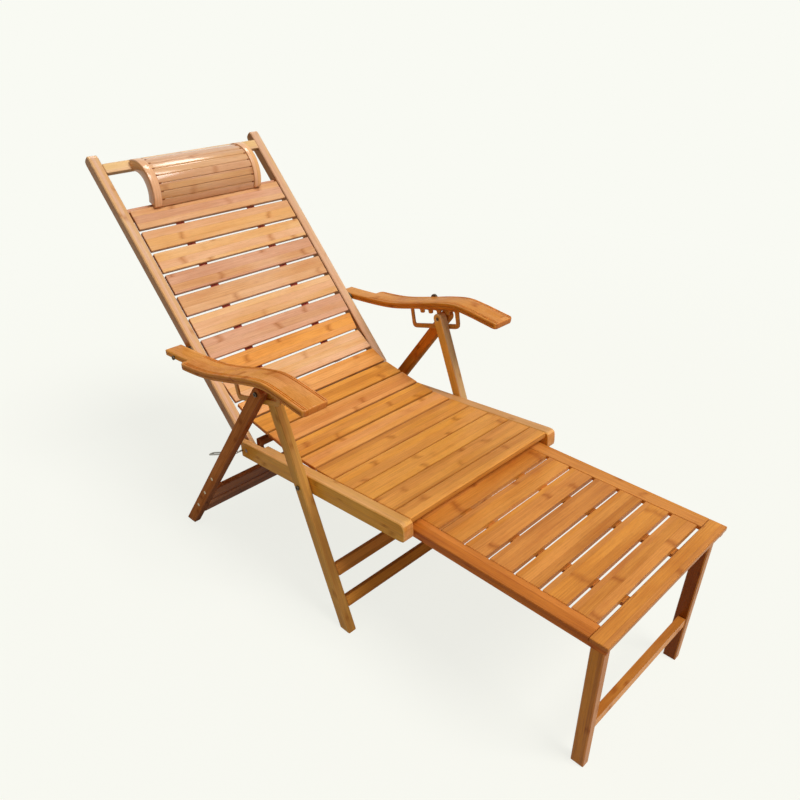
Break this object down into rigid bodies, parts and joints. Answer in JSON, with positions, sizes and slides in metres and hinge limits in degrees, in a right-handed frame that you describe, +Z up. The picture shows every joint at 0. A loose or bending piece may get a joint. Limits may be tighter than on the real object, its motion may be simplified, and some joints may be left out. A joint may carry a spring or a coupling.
{
  "type": "folding recliner chair",
  "caption": "Slatted bamboo lounge chair with crossed folding legs, notched arm racks, a sagging slat seat and back, a head pillow and a pull-out footrest on its own legs",
  "frame": {"origin": "middle of the bounding box, on the floor", "axes": "the sitter faces -Y, the back leans to +Y, +Z is up; the chair is symmetric about the plane x = 0"},
  "size_m": [0.65, 1.5142, 0.9069],
  "materials": {
    "bamboo_frame": "satin varnished bamboo, edge grain",
    "bamboo_slat": "satin varnished bamboo strips with nodes",
    "bamboo_footrest": "satin varnished bamboo strips, orange brown",
    "bamboo_rail": "satin varnished bamboo, pale",
    "bamboo_pillow": "satin varnished bamboo, pale",
    "bamboo_dark": "satin varnished bamboo, dark red brown",
    "webbing": "woven dark red webbing",
    "steel": "zinc plated steel"
  },
  "bodies": {
    "seat": {"seat_rail_left": "bamboo_frame", "seat_rail_right": "bamboo_frame", "seat_slat_1": "bamboo_slat", "seat_slat_2": "bamboo_slat", "seat_slat_3": "bamboo_slat", "seat_slat_4": "bamboo_slat", "seat_slat_5": "bamboo_slat", "seat_slat_6": "bamboo_slat", "seat_slat_7": "bamboo_slat", "seat_slat_8": "bamboo_slat", "seat_slat_9": "bamboo_slat", "seat_slat_10": "bamboo_slat", "seat_cross_rail": "bamboo_dark", "seat_web_left": "webbing", "seat_web_right": "webbing"},
    "hinge_rod": {"hinge_rod": "steel"},
    "back": {"back_stile_left": "bamboo_frame", "back_stile_right": "bamboo_frame", "back_slat_1": "bamboo_slat", "back_slat_2": "bamboo_slat", "back_slat_3": "bamboo_slat", "back_slat_4": "bamboo_slat", "back_slat_5": "bamboo_slat", "back_slat_6": "bamboo_slat", "back_slat_7": "bamboo_slat", "back_slat_8": "bamboo_slat", "back_slat_9": "bamboo_slat", "back_top_rail": "bamboo_rail", "back_pillow_rail": "bamboo_rail", "back_web_left": "webbing", "back_web_right": "webbing"},
    "head_pillow": {"pillow_arch_left": "bamboo_pillow", "pillow_arch_right": "bamboo_pillow", "pillow_slats": "bamboo_pillow"},
    "front_legs": {"front_leg_left": "bamboo_frame", "front_leg_right": "bamboo_frame", "front_stretcher_upper": "bamboo_dark", "front_stretcher_lower": "bamboo_dark", "apex_bolt_left": "steel", "apex_bolt_right": "steel"},
    "rear_legs": {"rear_leg_left": "bamboo_dark", "rear_leg_right": "bamboo_dark", "rear_stretcher_upper": "bamboo_dark", "rear_stretcher_lower": "bamboo_dark"},
    "arm_bolts": {"arm_bolt_left": "steel", "arm_bolt_right": "steel"},
    "arm_left": {"armrest_left": "bamboo_rail", "arm_rack_left": "bamboo_dark"},
    "arm_right": {"armrest_right": "bamboo_rail", "arm_rack_right": "bamboo_dark"},
    "footrest_guide": {"footrest_guide_rod": "steel"},
    "footrest": {"footrest_side_left": "bamboo_footrest", "footrest_side_right": "bamboo_footrest", "footrest_end_board": "bamboo_footrest", "footrest_slats": "bamboo_footrest"},
    "footrest_legs": {"footrest_leg_left": "bamboo_frame", "footrest_leg_right": "bamboo_frame", "footrest_stretcher": "bamboo_footrest"},
    "wire_loop_left": {"wire_loop_left": "steel"},
    "wire_loop_right": {"wire_loop_right": "steel"}
  },
  "joints": [
    {"name": "leg_fold", "type": "hinge", "parent": "seat", "child": "front_legs", "pos_m": [0, -0.04106, 0.332], "axis": [-1, 0, 0], "range_deg": [-80, 0]},
    {"name": "rear_leg_fold", "type": "hinge", "parent": "front_legs", "child": "rear_legs", "pos_m": [0, 0.04294, 0.539], "axis": [1, 0, 0], "range_deg": [-51.1, 0.5]},
    {"name": "back_fold", "type": "hinge", "parent": "seat", "child": "hinge_rod", "pos_m": [0, 0.18694, 0.312], "axis": [1, 0, 0], "range_deg": [-0.5, 74.1]},
    {"name": "back_recline", "type": "hinge", "parent": "hinge_rod", "child": "back", "pos_m": [0, 0.18694, 0.312], "axis": [1, 0, 0], "range_deg": [0, 22]},
    {"name": "arm_fold", "type": "hinge", "parent": "back", "child": "arm_bolts", "pos_m": [0, 0.37494, 0.51], "axis": [1, 0, 0], "range_deg": [-50.83, 0.5]},
    {"name": "arm_turn_left", "type": "hinge", "parent": "arm_bolts", "child": "arm_left", "pos_m": [0.29, 0.37494, 0.51], "axis": [1, 0, 0], "range_deg": [-13.58, 0.5]},
    {"name": "arm_turn_right", "type": "hinge", "parent": "arm_bolts", "child": "arm_right", "pos_m": [-0.29, 0.37494, 0.51], "axis": [1, 0, 0], "range_deg": [-13.58, 0.5]},
    {"name": "pillow_flip", "type": "hinge", "parent": "back", "child": "head_pillow", "pos_m": [0, 0.72311, 0.89238], "axis": [-1, 0, 0], "range_deg": [0, 100]},
    {"name": "footrest_slide", "type": "slide", "parent": "seat", "child": "footrest_guide", "axis": [0, 0.9965, -0.0838], "range_m": [0, 0.36]},
    {"name": "footrest_tilt", "type": "hinge", "parent": "footrest_guide", "child": "footrest", "pos_m": [0, -0.29706, 0.342], "axis": [-1, 0, 0], "range_deg": [-0.5, 5.31]},
    {"name": "footrest_leg_fold", "type": "hinge", "parent": "footrest", "child": "footrest_legs", "pos_m": [0, -0.72606, 0.331], "axis": [1, 0, 0], "range_deg": [0, 90]},
    {"name": "wire_loop_swing_left", "type": "hinge", "parent": "seat", "child": "wire_loop_left", "pos_m": [0.2705, 0.20294, 0.307], "axis": [-1, 0, 0], "range_deg": [0, 40]},
    {"name": "wire_loop_swing_right", "type": "hinge", "parent": "seat", "child": "wire_loop_right", "pos_m": [-0.2705, 0.20294, 0.307], "axis": [-1, 0, 0], "range_deg": [0, 40]}
  ],
  "couplings": [
    {"joint": "rear_leg_fold", "follows": "leg_fold", "ratio": 0.6325},
    {"joint": "back_fold", "follows": "leg_fold", "ratio": -0.92},
    {"joint": "arm_fold", "follows": "leg_fold", "ratio": 0.6291},
    {"joint": "arm_turn_left", "follows": "back_recline", "ratio": -0.5947},
    {"joint": "arm_turn_right", "follows": "back_recline", "ratio": -0.5947},
    {"joint": "footrest_tilt", "follows": "footrest_slide", "rad_per_m": 0.23306}
  ]
}
